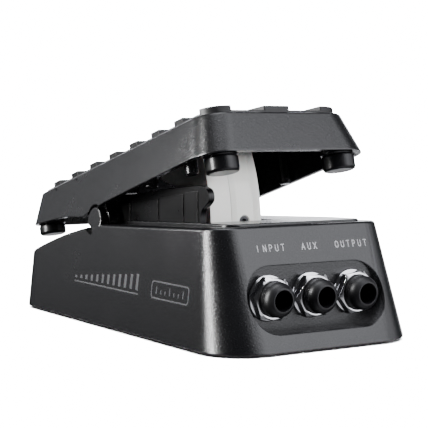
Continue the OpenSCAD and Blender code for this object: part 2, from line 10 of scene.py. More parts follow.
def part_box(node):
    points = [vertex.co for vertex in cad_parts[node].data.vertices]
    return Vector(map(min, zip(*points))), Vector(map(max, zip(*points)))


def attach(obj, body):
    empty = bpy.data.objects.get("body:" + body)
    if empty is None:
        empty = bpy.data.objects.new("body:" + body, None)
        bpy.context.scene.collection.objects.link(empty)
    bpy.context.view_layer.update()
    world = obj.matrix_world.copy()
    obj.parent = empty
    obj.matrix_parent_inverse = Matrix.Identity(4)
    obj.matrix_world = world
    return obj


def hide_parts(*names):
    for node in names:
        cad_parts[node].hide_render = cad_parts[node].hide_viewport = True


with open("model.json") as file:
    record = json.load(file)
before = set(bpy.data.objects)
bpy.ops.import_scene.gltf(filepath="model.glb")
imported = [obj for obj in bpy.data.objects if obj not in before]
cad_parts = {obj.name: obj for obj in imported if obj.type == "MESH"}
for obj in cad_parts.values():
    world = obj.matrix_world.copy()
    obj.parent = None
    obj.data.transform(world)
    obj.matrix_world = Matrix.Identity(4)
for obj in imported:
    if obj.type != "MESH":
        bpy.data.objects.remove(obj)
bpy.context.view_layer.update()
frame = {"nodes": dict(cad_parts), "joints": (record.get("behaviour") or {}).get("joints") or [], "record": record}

# ---------------- places from the frame, sizes as in the CAD (mm)
MM = 0.001
JOINTS = {j["name"]: j for j in frame["joints"]}
TOE_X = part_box("base_housing")[1].x / MM
FOOT_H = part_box("bottom_plate")[0].z / MM - 0.3
HINGE_X = JOINTS["treadle_hinge"]["pos_m"][0] / MM
HINGE_Z = JOINTS["treadle_hinge"]["pos_m"][2] / MM
TILT = math.radians(14.28)

BASE_LEN, BASE_W, BASE_H = 149.0, 77.6, 38.6
WALL = 2.5
TOE_LEAN, SIDE_LEAN = 0.374, 0.126
TOE_R, TOE_SHRINK = 16.0, 0.177
HEEL_R, HEEL_SHRINK = 11.0, 0.04
SLOPE_START, DECK_SLOPE, HEEL_SLOPE, HEEL_CURVE = 88.0, 0.045, 0.139, 0.0019
LAND_HEEL, LAND_TOE = -85.0, -16.8
PLATE_SCREWS = [(-20, 30.6), (-20, -30.6), (-135.5, 26.5), (-135.5, -26.5)]
FRAME_SCREWS = [(-75, -28.3), (-50, -28.3), (-75, 10.5), (-50, 10.5)]
JACK_PITCH, JACK_H, PLUG_R, PANEL_HOLE_R, SCREW_R = 16.5, 15.8, 3.2, 5.8, 1.5
PANEL_X = -10.2
RECESS_R = 10.2
PIVOT_X, PIVOT_Z = -93.7, 35.4

TREAD_N, TREAD_HALF = 20.9, 28.8
TREAD_TOE, TREAD_HEEL = 74.4, 56.2
TREAD_LEAN, TREAD_TOE_LEAN, TREAD_HEEL_LEAN = 0.31, 0.307, 0.25
TREAD_TOE_R, TREAD_HEEL_R, TREAD_GROW = 9.4, 6.5, 0.092
RIM = [(95, 7.5), (8, 5.1), (1.5, 4.4), (-8.8, 3.15), (-25, 6.25), (-40, 7.6), (-53, 8.65), (-70, 9.3)]
NOTCH_R = 5.9
PAD_INSET, PAD_T, BLOCK_H = 2.0, 1.1, 1.5
UNDERSIDE_N = TREAD_N - 1.2
TOE_BUMPER, HEEL_BUMPER, STEM_R = (70.9, 23.3), (-51.5, 26.0), 1.5

RIM_R, RIM_LOW, SECTOR_TOP = 56.5, -35.6, 16.0
SECTOR_Y, SECTOR_W, SECTOR_SCREWS = -10.5, 19.8, (34, 47)
BAND_T, BAND_Y = 0.4, (-12.2, -3.7)
HOLE_ANGLE, HOLE_R, PIN_ANGLE, PIN_R = -11.8, 1.72, -34.1, 1.12
DRUM_X, DRUM_Z = -33.658, 22.089
NOSE_X = -1.4


def base_place(p):
    """Base directions (x back from the toe edge, z from the bottom edge) to the row frame, in metres."""
    return Vector(((p[0] + TOE_X) * MM, p[1] * MM, (p[2] + FOOT_H) * MM))


def tread_place(p):
    """Treadle directions (s to the toe, y across, n square to the tread) to the row frame, in metres."""
    s, y, n = p
    x = HINGE_X + s * math.cos(TILT) - n * math.sin(TILT)
    z = HINGE_Z + s * math.sin(TILT) + n * math.cos(TILT)
    return Vector((x * MM, y * MM, z * MM))


PLACES = {"base": base_place, "treadle": tread_place}

# ---------------- mesh helpers, in mm

def make(name, verts, faces):
    mesh = bpy.data.meshes.new(name)
    mesh.from_pydata([tuple(v) for v in verts], [], faces)
    mesh.validate()
    obj = bpy.data.objects.new(name, mesh)
    bpy.context.scene.collection.objects.link(obj)
    tidy_normals(obj)
    return obj


def tidy_normals(obj):
    bm = bmesh.new()
    bm.from_mesh(obj.data)
    bmesh.ops.remove_doubles(bm, verts=bm.verts, dist=1e-5)
    bmesh.ops.recalc_face_normals(bm, faces=bm.faces)
    bm.to_mesh(obj.data)
    bm.free()


def ring_faces(n, count):
    """Faces between each of count rings of n points and the next."""
    faces = []
    for k in range(count - 1):
        a, b = k * n, (k + 1) * n
        for i in range(n):
            j = (i + 1) % n
            faces.append((a + i, a + j, b + j, b + i))
    return faces


def loft(name, rings, capped=True):
    """Skin through rings of equally many points, closed at both ends if capped."""
    n = len(rings[0])
    verts = [p for ring in rings for p in ring]
    faces = ring_faces(n, len(rings))
    if capped:
        faces.append(tuple(range(n)))
        faces.append(tuple(range((len(rings) - 1) * n, len(rings) * n)))
    return make(name, verts, faces)


def combine(target, others, operation):
    """Exact boolean of target with each of others, which are then removed."""
    for other in others:
        mod = target.modifiers.new("cut", "BOOLEAN")
        mod.operation = operation
        mod.object = other
        mod.solver = "EXACT"
        apply_modifiers(target)
        bpy.data.objects.remove(other)
    return target


def apply_modifiers(obj):
    bpy.context.view_layer.update()
    deps = bpy.context.evaluated_depsgraph_get()
    mesh = bpy.data.meshes.new_from_object(obj.evaluated_get(deps))
    obj.modifiers.clear()
    old = obj.data
    obj.data = mesh
    bpy.data.meshes.remove(old)
    mesh.name = obj.name


def merge(name, objs):
    """One mesh of several separate ones."""
    bm = bmesh.new()
    for o in objs:
        bm.from_mesh(o.data)
        bpy.data.objects.remove(o)
    mesh = bpy.data.meshes.new(name)
    bm.to_mesh(mesh)
    bm.free()
    obj = bpy.data.objects.new(name, mesh)
    bpy.context.scene.collection.objects.link(obj)
    return obj


def bevel(obj, width, segments=2, angle=30):
    mod = obj.modifiers.new("bevel", "BEVEL")
    mod.width = width
    mod.segments = segments
    mod.limit_method = "ANGLE"
    mod.angle_limit = math.radians(angle)
    mod.use_clamp_overlap = True
    apply_modifiers(obj)
    return obj


def finish_piece(obj, body, slot, nodes, name, smooth=35, material=None):
    """Moves a mesh made in mm to its place, shades it, gives it its material and ties it to its body."""
    for v in obj.data.vertices:
        v.co = PLACES[body](v.co)
    bm = bmesh.new()
    bm.from_mesh(obj.data)
    bmesh.ops.remove_doubles(bm, verts=bm.verts, dist=2e-6)
    limit = math.radians(smooth)
    for e in bm.edges:
        e.smooth = len(e.link_faces) == 2 and e.calc_face_angle(math.pi) < limit
    for f in bm.faces:
        f.smooth = True
    bm.to_mesh(obj.data)
    bm.free()
    mod = obj.modifiers.new("weighted", "WEIGHTED_NORMAL")
    mod.keep_sharp = True
    mod.weight = 100
    obj.data.materials.clear()
    obj.data.materials.append(MATS[material or slot])
    obj.name = name
    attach(obj, body)
    if nodes:
        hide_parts(*nodes)


def arc(cx, cy, r, a0, a1, n):
    """Points on a circle from angle a0 to a1 in n steps."""
    return [(cx + r * math.cos(math.radians(a0 + (a1 - a0) * k / n)),
             cy + r * math.sin(math.radians(a0 + (a1 - a0) * k / n))) for k in range(n + 1)]


def lathe(name, profile, segments=48, hole=False):
    """Turned solid about +Z from (radius, height) points; a hole leaves the middle open."""
    rings = [[(r * math.cos(2 * math.pi * i / segments), r * math.sin(2 * math.pi * i / segments), z)
              for i in range(segments)] for r, z in profile]
    if hole:
        rings.append(rings[0])
        return loft(name, rings, capped=False)
    return loft(name, rings)


def box_mesh(name, lo, hi):
    (x0, y0, z0), (x1, y1, z1) = lo, hi
    ring = [(x0, y0), (x1, y0), (x1, y1), (x0, y1)]
    return loft(name, [[(x, y, z) for x, y in ring] for z in (z0, z1)])


def turn(obj, axis):
    """Turns a mesh made about Z so that its axis lies along +X or +Y."""
    for v in obj.data.vertices:
        x, y, z = v.co
        v.co = (z, y, -x) if axis == "x" else (x, z, -y)
    return obj


def shift(obj, d):
    for v in obj.data.vertices:
        v.co = v.co + Vector(d)
    return obj


def mirror_y(obj):
    """Mirrors a mesh in the middle plane."""
    for v in obj.data.vertices:
        v.co.y = -v.co.y
    obj.data.flip_normals()
    return obj


def plate_solid(name, outline, y0, y1):
    """Flat outline in X and Z (or s and n) made solid between y0 and y1."""
    return loft(name, [[(x, y, z) for x, z in outline] for y in (y0, y1)])


# ---------------- materials

def new_material(name):
    """Material with one principled shader: the material, its node tree and the shader."""
    mat = bpy.data.materials.new(name)
    mat.use_nodes = True
    tree = mat.node_tree
    for node in list(tree.nodes):
        tree.nodes.remove(node)
    out = tree.nodes.new("ShaderNodeOutputMaterial")
    bsdf = tree.nodes.new("ShaderNodeBsdfPrincipled")
    tree.links.new(bsdf.outputs["BSDF"], out.inputs["Surface"])
    return mat, tree, bsdf


def place_coords(tree, scale=(1, 1, 1)):
    coord = tree.nodes.new("ShaderNodeTexCoord")
    mapping = tree.nodes.new("ShaderNodeMapping")
    mapping.inputs["Scale"].default_value = scale
    tree.links.new(coord.outputs["Object"], mapping.inputs["Vector"])
    return mapping.outputs["Vector"]


def noise(tree, vector, scale, detail=2.0, roughness=0.5):
    node = tree.nodes.new("ShaderNodeTexNoise")
    node.inputs["Scale"].default_value = scale
    node.inputs["Detail"].default_value = detail
    node.inputs["Roughness"].default_value = roughness
    tree.links.new(vector, node.inputs["Vector"])
    return node.outputs["Fac"]


def ramp(tree, value, stops):
    node = tree.nodes.new("ShaderNodeValToRGB")
    elements = node.color_ramp.elements
    while len(elements) < len(stops):
        elements.new(0.5)
    for element, (pos, level) in zip(elements, stops):
        element.position = pos
        c = level if isinstance(level, tuple) else (level,) * 3
        element.color = (*c, 1)
    tree.links.new(value, node.inputs["Fac"])
    return node.outputs["Color"]


def mix(tree, fac, a, b, kind="MIX"):
    node = tree.nodes.new("ShaderNodeMix")
    node.data_type = "RGBA"
    node.blend_type = kind
    for value, socket in ((fac, 0), (a, 6), (b, 7)):
        if isinstance(value, (int, float)):
            node.inputs[socket].default_value = value if socket == 0 else (value, value, value, 1)
        elif isinstance(value, tuple):
            node.inputs[socket].default_value = (*value, 1)
        else:
            tree.links.new(value, node.inputs[socket])
    return node.outputs[2]


def bump(tree, bsdf, height, strength, distance, previous=None):
    node = tree.nodes.new("ShaderNodeBump")
    node.inputs["Strength"].default_value = strength
    node.inputs["Distance"].default_value = distance
    tree.links.new(height, node.inputs["Height"])
    if previous is not None:
        tree.links.new(previous, node.inputs["Normal"])
    tree.links.new(node.outputs["Normal"], bsdf.inputs["Normal"])
    return node.outputs["Normal"]


def tint(base, factor, extra=0.0):
    return tuple(min(1, c * factor + extra) for c in base)


def set_look(tree, bsdf, colour, mask, low, high):
    """Links the colour, and a roughness that follows the mask between two (mask, roughness) stops."""
    tree.links.new(colour, bsdf.inputs["Base Color"])
    tree.links.new(ramp(tree, mask, [low, high]), bsdf.inputs["Roughness"])


def edge_wear(tree, low, high):
    """1 on sharp convex edges, from the mesh's pointiness."""
    geo = tree.nodes.new("ShaderNodeNewGeometry")
    return ramp(tree, geo.outputs["Pointiness"], [(low, 0.0), (high, 1.0)])


def powder_coat(name, base, rough):
    """Satin paint over a fine cast texture, with slightly rubbed edges."""
    mat, tree, bsdf = new_material(name)
    vec = place_coords(tree)
    grain_size, peel_size, cloud_size, depth = 1900, 760, 45, 0.00010
    grain = noise(tree, vec, grain_size, 3, 0.7)
    peel = noise(tree, vec, peel_size, 2, 0.5)
    cloud = noise(tree, vec, cloud_size, 4, 0.6)
    tone = ramp(tree, cloud, [(0.3, tint(base, 0.85)), (0.7, tint(base, 1.15))])
    fleck = ramp(tree, grain, [(0.60, 0.0), (0.75, 1.0)])
    coat = mix(tree, fleck, tone, tint(base, 2.2))
    worn = mix(tree, edge_wear(tree, 0.56, 0.66), coat, tint(base, 3.0, 0.01))
    set_look(tree, bsdf, worn, cloud, (0.25, rough - 0.04), (0.75, rough + 0.05))
    first = bump(tree, bsdf, peel, 0.22, depth)
    bump(tree, bsdf, grain, 0.55, depth, first)
    bsdf.inputs["Specular IOR Level"].default_value = 0.62
    return mat


def rubber(name, base, rough):
    """Rubber with a fine grain and some dust."""
    mat, tree, bsdf = new_material(name)
    vec = place_coords(tree)
    fine = noise(tree, vec, 1800, 3, 0.6)
    cloud = noise(tree, vec, 90, 4, 0.65)
    dust = ramp(tree, cloud, [(0.45, 0.0), (0.8, 0.35)])
    dusty = mix(tree, dust, base, tint(base, 2.2))
    set_look(tree, bsdf, dusty, cloud, (0.3, rough - 0.06), (0.7, rough + 0.06))
    bump(tree, bsdf, fine, 0.3, 0.00008)
    bsdf.inputs["Specular IOR Level"].default_value = 0.45
    return mat


def polished(name, base, rough, metallic=1.0, scratch=0.1):
    """Metal with a slight haze and fine scratches."""
    mat, tree, bsdf = new_material(name)
    vec = place_coords(tree)
    haze = noise(tree, vec, 220, 4, 0.6)
    fine = noise(tree, place_coords(tree, (1, 9, 1)), 1400, 2, 0.5)
    tone = ramp(tree, haze, [(0.3, tint(base, 0.92)), (0.7, base)])
    set_look(tree, bsdf, tone, haze, (0.35, rough * 0.7), (0.75, rough * 1.5))
    bump(tree, bsdf, fine, scratch, 0.00001)
    bsdf.inputs["Metallic"].default_value = metallic
    return mat


def plastic(name, base, rough, grain_scale=1500, grain=0.15, coat=0.0, soft=0.0):
    """Moulded plastic, with a clear coat or some light let through where asked."""
    mat, tree, bsdf = new_material(name)
    vec = place_coords(tree)
    cloud = noise(tree, vec, 70, 4, 0.6)
    fine = noise(tree, vec, grain_scale, 2, 0.5)
    tone = ramp(tree, cloud, [(0.3, tint(base, 0.94)), (0.7, tint(base, 1.04))])
    set_look(tree, bsdf, tone, cloud, (0.3, rough * 0.85), (0.7, rough * 1.2))
    bump(tree, bsdf, fine, grain, 0.00004)
    bsdf.inputs["Coat Weight"].default_value = coat
    bsdf.inputs["Coat Roughness"].default_value = 0.08
    bsdf.inputs["Subsurface Weight"].default_value = soft
    bsdf.inputs["Subsurface Scale"].default_value = 0.002
    return mat


# Maker of each material and what it is given
RECIPES = {
    "housing_powder_coat": (powder_coat, (0.015, 0.0153, 0.0170), 0.23),
    "treadle_powder_coat": (powder_coat, (0.016, 0.0163, 0.0178), 0.25),
    "plate_paint": (powder_coat, (0.018, 0.018, 0.019), 0.42),
    "blackened_screw": (polished, (0.10, 0.10, 0.105), 0.35),
    "screw_steel": (polished, (0.55, 0.55, 0.54), 0.28),
    "black_rubber": (rubber, (0.013, 0.013, 0.015), 0.32),
    "tread_rubber": (rubber, (0.020, 0.020, 0.021), 0.46),
    "pin_steel": (polished, (0.6, 0.6, 0.6), 0.2),
    "frame_black": (plastic, (0.006, 0.006, 0.007), 0.30),
    "pot_case": (polished, (0.45, 0.45, 0.43), 0.3),
    "plated_steel": (polished, (0.62, 0.62, 0.6), 0.25),
    "ivory_nylon": (plastic, (0.70, 0.695, 0.67), 0.24, 700, 0.05, 0.35, 0.08),
    "band_film": (plastic, (0.70, 0.695, 0.66), 0.16, 700, 0.03, 0.5, 0.05),
    "wire_sleeve": (plastic, (0.4, 0.03, 0.03), 0.4),
    "board_laminate": (plastic, (0.02, 0.12, 0.05), 0.3, 400, 0.2, 0.4),
    "jack_plastic": (plastic, (0.008, 0.008, 0.010), 0.42),
    "contact_metal": (polished, (0.75, 0.7, 0.55), 0.25),
    "chrome_plate": (polished, (0.86, 0.86, 0.88), 0.11, 1.0, 0.03),
    "trimmer_blue": (plastic, (0.03, 0.08, 0.35), 0.3),
    "white_plastic": (plastic, (0.75, 0.75, 0.72), 0.35),
    "print_ink": (plastic, (0.85, 0.85, 0.86), 0.5),
}
MATS = {name: maker(name, *values) for name, (maker, *values) in RECIPES.items()}

SLOTS = {s["node"]: s["material_slot"] for s in frame["record"]["subparts"]}
for node_name, obj in frame["nodes"].items():
    obj.data.materials.clear()
    obj.data.materials.append(MATS[SLOTS[node_name]])

# ---------------- base housing


def deck_z(x):
    """Height of the deck: nearly level behind the toe edge, then falling to the heel."""
    d = -x
    if d < SLOPE_START:
        return BASE_H - DECK_SLOPE * d
    e = d - SLOPE_START
    return BASE_H - DECK_SLOPE * SLOPE_START - HEEL_SLOPE * e - HEEL_CURVE * e * e


def deck_slope(x):
    return (deck_z(x + 0.05) - deck_z(x - 0.05)) / 0.1


def land_z(x):
    """Top of the low land round the slot."""
    return deck_z(x) + 0.8 + 0.35 * min(1.0, max(0.0, (LAND_TOE - x) / 19.2))


def land_slope(x):
    return (land_z(x + 0.05) - land_z(x - 0.05)) / 0.1


def top_z(x):
    return land_z(x) if LAND_HEEL < x < LAND_TOE else deck_z(x)


def round_rect(corners, side_step, corner_n=12):
    """Outline from corners [(cx, cy, r, start angle)], in order, with points along its long sides:
    a list of (x, y, normal angle)."""
    out = []
    count = len(corners)
    for k in range(count):
        cx, cy, r, a0 = corners[k]
        for i in range(corner_n + 1):
            a = a0 + 90.0 * i / corner_n
            out.append((cx + r * math.cos(math.radians(a)), cy + r * math.sin(math.radians(a)), a))
        nx, ny, nr, na = corners[(k + 1) % count]
        end = (nx + nr * math.cos(math.radians(na)), ny + nr * math.sin(math.radians(na)))
        start = out[-1]
        steps = side_step[k]
        for i in range(1, steps):
            t = i / steps
            out.append((start[0] + (end[0] - start[0]) * t, start[1] + (end[1] - start[1]) * t, a0 + 90))
    return out


def rect_corners(x1, x0, y1, y0, r1, r0):
    """Corners for round_rect of a rectangle, rounded by r1 at x1 and by r0 at x0."""
    return [(x1 - r1, y1 - r1, r1, 0), (x0 + r0, y1 - r0, r0, 90),
            (x0 + r0, y0 + r0, r0, 180), (x1 - r1, y0 + r1, r1, 270)]


def base_outline(z, inset=0.0):
    tr = TOE_R - TOE_SHRINK * z - inset
    hr = HEEL_R - HEEL_SHRINK * z - inset
    half = BASE_W / 2 - SIDE_LEAN * z - inset
    toe = -TOE_LEAN * z - inset
    heel = -BASE_LEN + inset
    return round_rect(rect_corners(toe, heel, half, -half, tr, hr), (36, 8, 36, 8))


def column_lines(outline, z0, z1, inset=0.0):
    """Each outline point as a straight line of z: (point at z = 0, change per mm)."""
    a, b = outline(z0, inset), outline(z1, inset)
    lines = []
    for p, q in zip(a, b):
        k = Vector(((q[0] - p[0]) / (z1 - z0), (q[1] - p[1]) / (z1 - z0)))
        lines.append((Vector((p[0], p[1])) - k * z0, k, p[2]))
    return lines


def meet(line, height):
    """Point where a column meets the surface z = height(x)."""
    p, k, _ = line
    z = height(p.x)
    for _ in range(12):
        z = height(p.x + k.x * z)
    return Vector((p.x + k.x * z, p.y + k.y * z, z))


def rounded_top(lines, height, slope, radius, steps=5):
    """Rings that round each column over into the surface above."""
    rings = [[] for _ in range(steps + 1)]
    for line in lines:
        c = meet(line, height)
        a = math.radians(line[2])
        out = Vector((math.cos(a), math.sin(a), 0))
        along = Vector((-math.sin(a), math.cos(a), 0))
        wall = Vector((line[1].x, line[1].y, 1)).normalized()
        n1 = along.cross(wall).normalized()
        if n1.dot(out) < 0:
            n1 = -n1
        n2 = Vector((-slope(c.x), 0, 1)).normalized()
        centre = c - radius * (n1 + n2) / (1 + n1.dot(n2))
        for k in range(steps + 1):
            rings[k].append(centre + radius * n1.slerp(n2, k / steps))
    return rings


def cap_over(ring, height, step):
    """Triangles over a closed ring, following z = height(x)."""
    pts = [Vector((p.x, p.y)) for p in ring]
    n = len(pts)
    xs = [p.x for p in pts]
    reach = step * 1.5
    extra = []
    x = min(xs) + step
    while x < max(xs) - step:
        half = max((abs(p.y) for p in pts if abs(p.x - x) < reach), default=0)
        m = max(1, int(half / reach))
        if half > 8:
            extra += [Vector((x, i * (half - 3.0) / m)) for i in range(-m, m + 1)]
        x += step
    keep = [e for e in extra if min((e - p).length for p in pts) > step * 0.5]
    edges = [(i, (i + 1) % n) for i in range(n)]
    verts, _, faces, *_ = delaunay_2d_cdt(pts + keep, edges, [], 1, 1e-4)
    return [Vector((v.x, v.y, height(v.x))) for v in verts], faces


def skin(name, rings, height, step):
    """Loft through rings, with a cap over the last ring that follows the surface above."""
    n = len(rings[0])
    verts = [Vector(p) for ring in rings for p in ring]
    faces = ring_faces(n, len(rings))
    faces.append(tuple(range(n)))
    cap_verts, cap_faces = cap_over(rings[-1], height, step)
    last = rings[-1]
    remap = {}
    for i, v in enumerate(cap_verts):
        best = None
        for j, p in enumerate(last):
            if abs(p.x - v.x) < 1e-4 and abs(p.y - v.y) < 1e-4:
                best = (len(rings) - 1) * n + j
                break
        if best is None:
            verts.append(v)
            best = len(verts) - 1
        remap[i] = best
    for f in cap_faces:
        faces.append(tuple(remap[i] for i in f))
    return make(name, verts, faces)


def flat_rings(outline, zs_insets):
    return [[Vector((p[0], p[1], z)) for p in outline(z, inset)] for z, inset in zs_insets]


def rounded_slot(x0, x1, y0, y1, r, offset):
    r = r + offset
    corners = rect_corners(x1 + offset, x0 - offset, y1 + offset, y0 - offset, r, r)
    return round_rect(corners, (26, 10, 26, 10), 6)


def flared_cut(name, outline, surface, depth, flare=0.6):
    """Cutter through a surface z = surface(x) whose mouth is rounded outwards."""
    levels = [(-depth, 0.0), (-flare, 0.0), (-flare * 0.55, flare * 0.12), (-flare * 0.25, flare * 0.35),
              (0.0, flare), (1.0, flare * 2.5), (14.0, flare * 2.5)]
    rings = []
    for dz, off in levels:
        rings.append([Vector((p[0], p[1], surface(p[0]) + dz)) for p in outline(off)])
    return loft(name, rings)


def build_base():
    lines = column_lines(base_outline, 0, 40)
    rings = flat_rings(base_outline, [(0, 0.45), (0.12, 0.15), (0.45, 0.0)])
    rings += rounded_top(lines, deck_z, deck_slope, 1.35)
    body = skin("base_shell", rings, deck_z, 5.0)

    def ear(side):
        """Cheek beside the hinge, its outer edge rounded by pulling the last rings in."""
        r, foot_z = 5.0, 26.5
        prof = arc(PIVOT_X, PIVOT_Z, r, 0, 180, 20) + [(PIVOT_X - r, foot_z), (PIVOT_X + r, foot_z)]
        outer = [(x, side * (BASE_W / 2 - SIDE_LEAN * z - 0.03), z) for x, z in prof]
        inner = [(x, side * 31.0, z) for x, z in prof]
        cx, cz = PIVOT_X, PIVOT_Z - 2

        def shrink(ring, amount, back):
            out = []
            for x, y, z in ring:
                dx, dz = x - cx, z - cz
                k = 1 - amount / max(1e-6, math.hypot(dx, dz))
                out.append((cx + dx * k, y - side * back, cz + dz * k if z > 27 else z))
            return out

        return loft("ear", [inner, shrink(outer, 0, 0.6), shrink(outer, 0.12, 0.28), shrink(outer, 0.55, 0)])

    # Low land round the slot
    corners = rect_corners(LAND_TOE, LAND_HEEL, 27, -27, 5, 3.8)
    edge = [(Vector((x, y)), Vector((0, 0)), a) for x, y, a in round_rect(corners, (20, 12, 20, 12), 8)]
    rings = [[Vector((line[0].x, line[0].y, 33.0)) for line in edge]]
    rings.append([Vector((line[0].x, line[0].y, deck_z(line[0].x) + 0.1)) for line in edge])
    rings += rounded_top(edge, land_z, land_slope, 0.5, 4)
    land = skin("land", rings, land_z, 5.0)
    combine(body, [land, ear(1), ear(-1)], "UNION")

    # Room inside, less the jack panel and the bosses
    inner_lines = column_lines(base_outline, 0, 40, WALL)
    top = [meet(line, lambda x: deck_z(x) - WALL) for line in inner_lines]
    low = [Vector((p[0], p[1], -1.0)) for p in base_outline(-1.0, WALL)]
    room = skin("room", [low, top], lambda x: deck_z(x) - WALL, 9.0)
    solids = [box_mesh("panel", (PANEL_X - WALL, -29.7, 2.6), (12, 29.7, 29.0))]
    for x, y in FRAME_SCREWS:
        solids.append(shift(lathe("boss", [(3, 0), (3, 30)], 24), (x, y, 26)))
    for x, y in PLATE_SCREWS:
        solids.append(shift(lathe("boss", [(3.6, 0), (3.6, 50)], 24), (x, y, 1.8)))
    combine(room, solids, "DIFFERENCE")
    combine(body, [room], "DIFFERENCE")

    # Jack recess with a rounded mouth in the leaning wall
    def stadium(offset):
        r, mid_z = RECESS_R + offset, JACK_H - 0.2
        return arc(JACK_PITCH, mid_z, r, -90, 90, 28) + arc(-JACK_PITCH, mid_z, r, 90, 270, 28)

    rings = []
    flare = 0.55
    for dx, off in ((None, 0.0), (-flare, 0.0), (-flare * 0.5, flare * 0.14), (-flare * 0.2, flare * 0.4),
                    (0.0, flare), (1.0, flare * 2.2), (6.0, flare * 2.2)):
        ring = []
        for y, z in stadium(off):
            x = PANEL_X if dx is None else max(PANEL_X + 0.02 + 0.01 * (dx + 1), -TOE_LEAN * z + dx)
            ring.append(Vector((x, y, z)))
        rings.append(ring)
    cutters = [loft("recess", rings)]
    for k in (-1, 0, 1):
        hole = turn(lathe("hole", [(PANEL_HOLE_R, 0), (PANEL_HOLE_R, 6)], 48), "x")
        cutters.append(shift(hole, (PANEL_X - 4, k * JACK_PITCH, JACK_H)))
    cutters.append(flared_cut("slot", lambda o: rounded_slot(-108, -33, -26, 1.5, 1.2, o), top_z, 7, 0.4))
    for y0, y1 in ((-31, -24.2), (24.2, 31)):
        def pocket(offset, a=y0, b=y1):
            return rounded_slot(-100.6, -87, a, b, 0.8, min(offset, 0.0))

        cutters.append(flared_cut("pocket", pocket, deck_z, 6, 0.5))
    for side in (-1, 1):
        # Slanted relief slot below the ear
        pts = arc(-95.2, 31.7, 1.3, -112.7, 67.3, 10) + arc(-99.0, 33.3, 1.3, 67.3, 247.3, 10)
        y0, y1 = sorted((side * 33, side * 42))
        cutters.append(plate_solid("relief", pts, y0, y1))
    for x, y in PLATE_SCREWS:
        cutters.append(shift(lathe("thread", [(SCREW_R, 0), (SCREW_R, 10.5)], 20), (x, y, 1.3)))
    combine(body, cutters, "DIFFERENCE")
    finish_piece(body, "base", "housing_powder_coat", ["base_housing"], "base_shell")


build_base()

# ---------------- treadle


def rim_n(s):
    """Height of the treadle's lower edge at s, with the notch round the hinge."""
    for (s1, n1), (s0, n0) in zip(RIM, RIM[1:]):
        if s0 <= s <= s1:
            base = n0 + (n1 - n0) * (s - s0) / (s1 - s0)
            break
    else:
        base = RIM[0][1] if s > 0 else RIM[-1][1]
    if abs(s) < NOTCH_R:
        base = max(base, math.sqrt(NOTCH_R ** 2 - s * s))
    return base


def tread_outline(n, inset=0.0):
    drop = TREAD_N - n
    tr = TREAD_TOE_R + TREAD_GROW * drop - inset
    hr = TREAD_HEEL_R + TREAD_GROW * drop - inset
    half = TREAD_HALF + TREAD_LEAN * drop - inset
    toe = TREAD_TOE + TREAD_TOE_LEAN * drop - inset
    heel = -TREAD_HEEL - TREAD_HEEL_LEAN * drop + inset
    return round_rect(rect_corners(toe, heel, half, -half, tr, hr), (150, 6, 150, 6))


